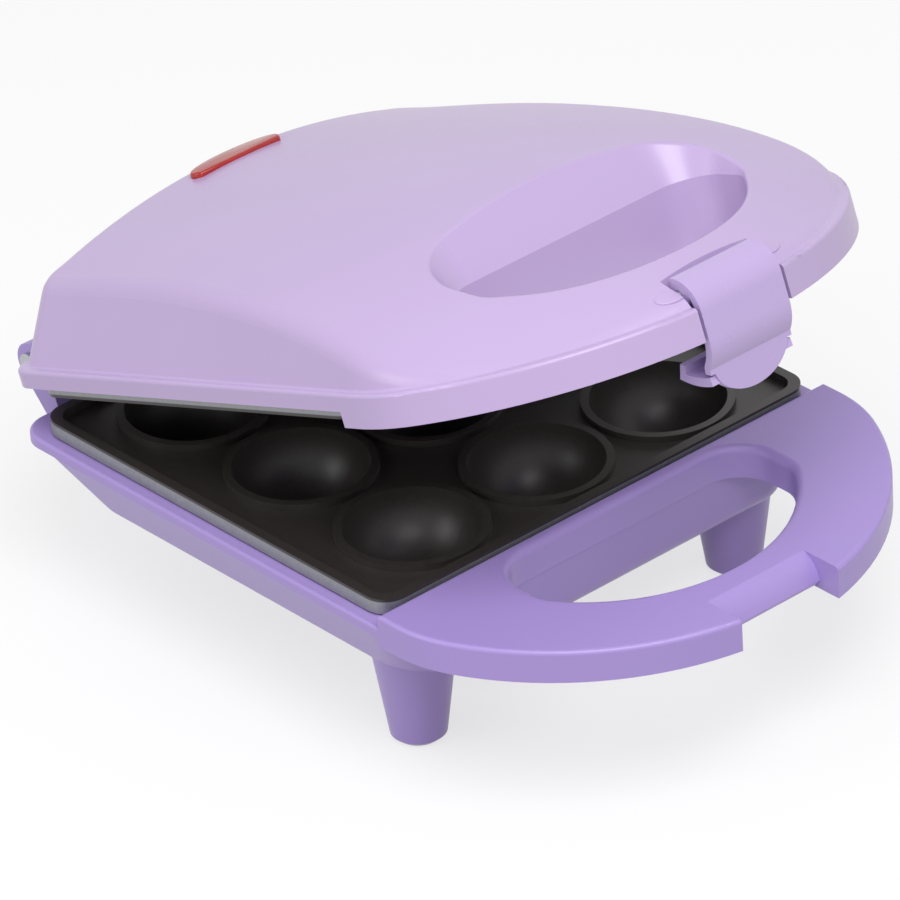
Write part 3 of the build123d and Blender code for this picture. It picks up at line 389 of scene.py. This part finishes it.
def dyed_acrylic(name, hex_dark, hex_light, through):
    """A clear, dyed moulding; through is the share of light that it lets pass."""
    material, tree, place = start_material(name)
    flow = add_node(tree, "TexNoise", {
        "Vector": place, "Scale": scale_for(flow_spacing), "Detail": 2.0})
    dye = add_node(tree, "Mix", {
        "Factor": flow.outputs["Fac"], "A": colour(hex_dark), "B": colour(hex_light)}, data_type="RGBA")
    shader = add_node(tree, "BsdfPrincipled", {
        "Base Color": dye.outputs[2], "Roughness": 0.08, "IOR": 1.49, "Transmission Weight": through,
        "Subsurface Weight": 0.3, "Subsurface Scale": 2.0 * mm})
    return finish_material(material, shader)


red_acrylic = dyed_acrylic("red_dyed_acrylic", "B3161A", "D03A30", through=0.35)
neon_glass = dyed_acrylic("neon_lamp_glass", "EBB79A", "F4CBB2", through=0.7)

# %% [markdown]
# ## Pieces that sit on the lid
# Four small pieces are shaped here: the lens, which stands a little proud of the lid, two oval bosses
# that cover the ends of the latch's pin, and the pin itself. All start as an oval slice of a
# cylinder. It could be drawn as a curve and extruded, but a cylinder that is scaled before it is
# applied has its faces and normals right at once.
#
# They are modelled level, as on the bench, with the lid shut. `open_lid` then tips them back with the
# lid, about the hinge, and applies it, so that each object stays at the origin with its place in
# its mesh.

# %% Draw an oval slice
def in_case(x, y, z):
    """A point in millimetres from the case's centre, with the lid shut, in the model's metres."""
    return case_centre + Vector((x, y, z)) * mm


def oval_slice(name, centre, half_length, half_width, thickness, normal=(0, 0, 1)):
    """A flat oval, its sizes in millimetres, that faces along a normal."""
    bpy.ops.object.select_all(action="DESELECT")
    facing = Vector(normal).to_track_quat("Z", "Y").to_euler()
    bpy.ops.mesh.primitive_cylinder_add(
        vertices=96, radius=1.0, depth=thickness * mm, location=centre, rotation=facing,
        scale=(half_length * mm, half_width * mm, 1.0))
    piece = bpy.context.object
    piece.name = name
    bpy.ops.object.transform_apply(location=True, rotation=True, scale=True)
    return piece


print("the case's centre is at", [round(c, 3) for c in in_case(0, 0, 0)])

# %% Cut it, round its rim and tip it back
flat_to_rim = 0.95
smooth_below = math.radians(40)


def cut_flat(place, outward):
    """Cuts off what the piece in hand has beyond a plane, and closes the cut."""
    bpy.ops.object.mode_set(mode="EDIT")
    bpy.ops.mesh.select_all(action="SELECT")
    bpy.ops.mesh.bisect(plane_co=place, plane_no=outward, use_fill=True, clear_outer=True)
    bpy.ops.object.mode_set(mode="OBJECT")


def round_rim(piece, normal, radius, steps):
    """Rounds the edge of the face that looks along a normal."""
    bpy.ops.object.mode_set(mode="EDIT")
    bpy.ops.mesh.select_mode(type="FACE")
    bpy.ops.mesh.select_all(action="DESELECT")
    cage = bmesh.from_edit_mesh(piece.data)
    for face in cage.faces:
        face.select = face.normal.dot(Vector(normal).normalized()) > flat_to_rim
    bmesh.update_edit_mesh(piece.data)
    bpy.ops.mesh.region_to_loop()
    bpy.ops.mesh.bevel(offset=radius * mm, segments=steps, profile=0.5, affect="EDGES")
    bpy.ops.object.mode_set(mode="OBJECT")
    bpy.ops.object.shade_smooth_by_angle(angle=smooth_below)


def open_lid(piece):
    """Tips a piece back with the lid and leaves its object at the origin."""
    swing = Matrix.Rotation(-lid_ajar, 4, "X")
    piece.matrix_world = Matrix.Translation(hinge_place) @ swing @ Matrix.Translation(-hinge_place)
    bpy.ops.object.transform_apply(location=True, rotation=True, scale=True)
    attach(piece, "lid")
    print(piece.name, "has", len(piece.data.polygons), "faces")


# %% [markdown]
# ## The indicator's lens
# The lens is a small bar of acrylic with a straight front edge and a bowed back. Bisecting the oval
# in front of its middle gives that outline in one cut. Its top edge is rounded, as moulded lenses
# are, so it catches a line of light. The underside sinks into its window in the lid.

# %% Model the lens
lens_middle = in_case(0, 61.5, 41.1)
lens_half_length = 15.6
lens_half_width = 6.4
lens_thickness = 2.4
lens_front = 2.8
lens_rounding = 0.7

lens_bar = oval_slice(
    "indicator_lens_bar", lens_middle, lens_half_length, lens_half_width, lens_thickness)
cut_flat(lens_middle - Vector((0, lens_front * mm, 0)), (0, -1, 0))
round_rim(lens_bar, (0, 0, 1), lens_rounding, steps=4)
open_lid(lens_bar)
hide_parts("indicator_lens")
lens_bar.data.materials.append(red_acrylic)

# %% [markdown]
# ## Bosses at the ends of the latch's pin
# The latch turns on a steel pin between the walls of its slot. The lid's nose is so low there that
# the pin's bore runs out through the skin. A low oval boss on each side closes it over, where a
# moulder would thicken the nose. Each has a soft rim, and is cut off square at the slot's wall so
# that the latch swings past it.
#
# The right one could be a mirrored copy of the left, but a mirror turns a mesh inside out, so the
# loop draws each from its own side.

# %% Model the bosses
slot_wall = 15.35
boss_normal = Vector((0.15, -0.46, 0.88)).normalized()
boss_half_length = 4.6
boss_half_width = 2.5
boss_thickness = 1.4
boss_proud = 0.38
boss_rounding = 0.3

for side, hand in ((-1, "left"), (1, "right")):
    facing = Vector((side * boss_normal.x, boss_normal.y, boss_normal.z))
    skin = in_case(side * 17.4, -136.3, 13.76)
    boss_middle = skin + facing * (boss_proud - boss_thickness / 2) * mm
    boss = oval_slice(
        "pin_boss_" + hand, boss_middle, boss_half_length, boss_half_width, boss_thickness, facing)
    cut_flat(in_case(side * slot_wall, 0, 0), (-side, 0, 0))
    round_rim(boss, facing, boss_rounding, steps=3)
    open_lid(boss)
    boss.data.materials.append(lid_abs)

# %% [markdown]
# ## The latch's pin
# The pin is cut from steel wire and zinc plated, and its ends are eased so that it can be pushed in.
# It is an oval slice too, a round and very thick one that faces across the slot. It stops just past
# the slot's walls, inside the bosses.

# %% Model the pin
pin_middle = in_case(0, -135.7, 12.8)
pin_radius = 1.5
pin_half_length = 15.8
pin_easing = 0.25

pin = oval_slice("latch_hinge_pin", pin_middle, pin_radius, pin_radius, 2 * pin_half_length, (1, 0, 0))
for way in ((1, 0, 0), (-1, 0, 0)):
    round_rim(pin, way, pin_easing, steps=2)
open_lid(pin)
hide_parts("latch_pin")
pin.data.materials.append(zinc)

# %% [markdown]
# ## Which finish goes where
# The record names a material slot for each node. Each slot is looked up here, and the two plates go
# by name because their masks differ.

# %% Give every node its finish
finish_of_slot = {
    "lid_plastic": lid_abs, "base_plastic": base_abs_painted_shade, "latch_plastic": latch_abs,
    "steel": zinc, "sheath_steel": sheath, "reflector_steel": reflector,
    "ceramic": steatite, "washer_plastic": nylon, "splice_nylon": splice_nylon,
    "gland_rubber": rubber, "thermostat_body": phenolic, "lead_sleeve": sleeve,
    "lens_red": red_acrylic, "lamp_glass": neon_glass,
}
finish_of_node = {"lower_plate": lower_coat, "upper_plate": upper_coat}
for part in frame["record"]["subparts"]:
    finish = finish_of_node.get(part["node"]) or finish_of_slot[part["material_slot"]]
    materials = nodes[part["node"]].data.materials
    materials.clear()
    materials.append(finish)
print("finished", len(nodes), "nodes")

# %% [markdown]
# ## Studio lamps
# Glossy plastic shows its lamps, so they are large and soft. The main one hangs overhead, a little
# to the front and left: tops come out bright and sides a step darker, which is what tells the form.
# A weaker one at the left keeps the near side from going flat. Places and sizes are in metres.

# %% Lamps
def soft_lamp(name, place, aim, size, watts):
    """A square area lamp that faces a point."""
    light = bpy.data.lights.new(name, "AREA")
    light.shape = "SQUARE"
    light.size = size
    light.energy = watts
    lamp = bpy.data.objects.new(name, light)
    bpy.context.scene.collection.objects.link(lamp)
    lamp.location = place
    lamp.rotation_euler = (Vector(aim) - Vector(place)).to_track_quat("-Z", "Y").to_euler()
    print(name, "at", place, "with", watts, "W")


soft_lamp("overhead_softbox", place=(-0.35, -0.6, 1.15), aim=(0, 0, 0.05), size=0.8, watts=12.5)
soft_lamp("side_softbox", place=(-1.1, 0.3, 0.6), aim=(0, 0, 0.06), size=0.5, watts=2.4)

# %% [markdown]
# ## A white floor that keeps its shadow
# The floor is plain white paper. Rays that come straight from the lens, or by way of a gloss or
# glass, find it partly lit from within, so it goes to white in the open and the shadow beneath the
# appliance stays soft and pale. All other rays see ordinary paper, so the object gets no extra light.

# %% Floor
floor_width = 6
bpy.ops.object.select_all(action="DESELECT")
bpy.ops.mesh.primitive_plane_add(size=floor_width, location=(0, 0, 0))
floor = bpy.context.object
floor.name = "floor"
print("floor is", floor_width, "m wide")

# %% White paper
paper_glow_share = 0.7


def seen_directly(tree):
    """1 for rays of the camera, of a gloss and of glass, and 0 for the rest."""
    path = add_node(tree, "LightPath")
    gloss = add_node(tree, "Math", {
        0: path.outputs["Is Camera Ray"], 1: path.outputs["Is Glossy Ray"]}, operation="MAXIMUM")
    direct = add_node(tree, "Math", {
        0: gloss.outputs[0], 1: path.outputs["Is Transmission Ray"]}, operation="MAXIMUM")
    return direct.outputs[0]


paper = bpy.data.materials.new("white_paper_floor")
paper.use_nodes = True
tree = paper.node_tree
tree.nodes.clear()
direct = seen_directly(tree)
tone = add_node(tree, "Mix", {
    "Factor": direct, "A": colour("BEBEBE"), "B": colour("F7F7F7")}, data_type="RGBA")
sheet = add_node(tree, "BsdfPrincipled", {"Base Color": tone.outputs[2], "Roughness": 0.9})
glow = add_node(tree, "Emission", {"Color": colour("FFFFFF"), "Strength": 1.0})
share = add_node(tree, "Math", {0: direct, 1: paper_glow_share}, operation="MULTIPLY")
mixed = add_node(tree, "MixShader", {
    0: share.outputs[0], 1: sheet.outputs["BSDF"], 2: glow.outputs["Emission"]})
add_node(tree, "OutputMaterial", {"Surface": mixed.outputs[0]})
floor.data.materials.append(paper)
print("paper has", len(tree.nodes), "nodes")

# %% [markdown]
# ## The room round it
# A plain white room fills in the shadows. It is dimmer as a light than it looks behind the object.

# %% World
room_light = 0.5
backdrop_light = 1.0
world = bpy.data.worlds.new("white_room")
bpy.context.scene.world = world
world.use_nodes = True
tree = world.node_tree
tree.nodes.clear()
room = add_node(tree, "Background", {"Color": (1, 1, 1, 1), "Strength": room_light})
backdrop = add_node(tree, "Background", {"Color": (1, 1, 1, 1), "Strength": backdrop_light})
whole = add_node(tree, "MixShader", {
    0: seen_directly(tree), 1: room.outputs[0], 2: backdrop.outputs[0]})
add_node(tree, "OutputWorld", {"Surface": whole.outputs[0]})
print("room lights at", room_light)

# %% [markdown]
# ## Camera
# A long lens from a couple of metres away keeps the upright edges nearly parallel, as a catalogue
# does. It stands at the front left corner and looks down at the lid by about 31 degrees. Its own
# axes are worked out from the two angles, and then rolled a little by the tilt.

# %% Camera
aim = Vector((-13.4, 0.5, 55.0)) * mm
around = math.radians(-40.23)
above = math.radians(31.14)
tilt = -0.061
away = 2.161
back = Vector((
    math.sin(around) * math.cos(above), -math.cos(around) * math.cos(above), math.sin(above)))
level_right = Vector((math.cos(around), math.sin(around), 0))
level_up = back.cross(level_right)
right = level_right * math.cos(tilt) + level_up * math.sin(tilt)
up = level_up * math.cos(tilt) - level_right * math.sin(tilt)
lens = bpy.data.cameras.new("long_lens")
lens.lens = 320
lens.sensor_width = 36
camera = bpy.data.objects.new("camera", lens)
bpy.context.scene.collection.objects.link(camera)
turn = Matrix((right, up, back)).transposed().to_4x4()
camera.matrix_world = Matrix.Translation(aim + back * away) @ turn
bpy.context.scene.camera = camera
bpy.context.scene.view_settings.view_transform = "Standard"
print("camera stands", round(away, 2), "m away")
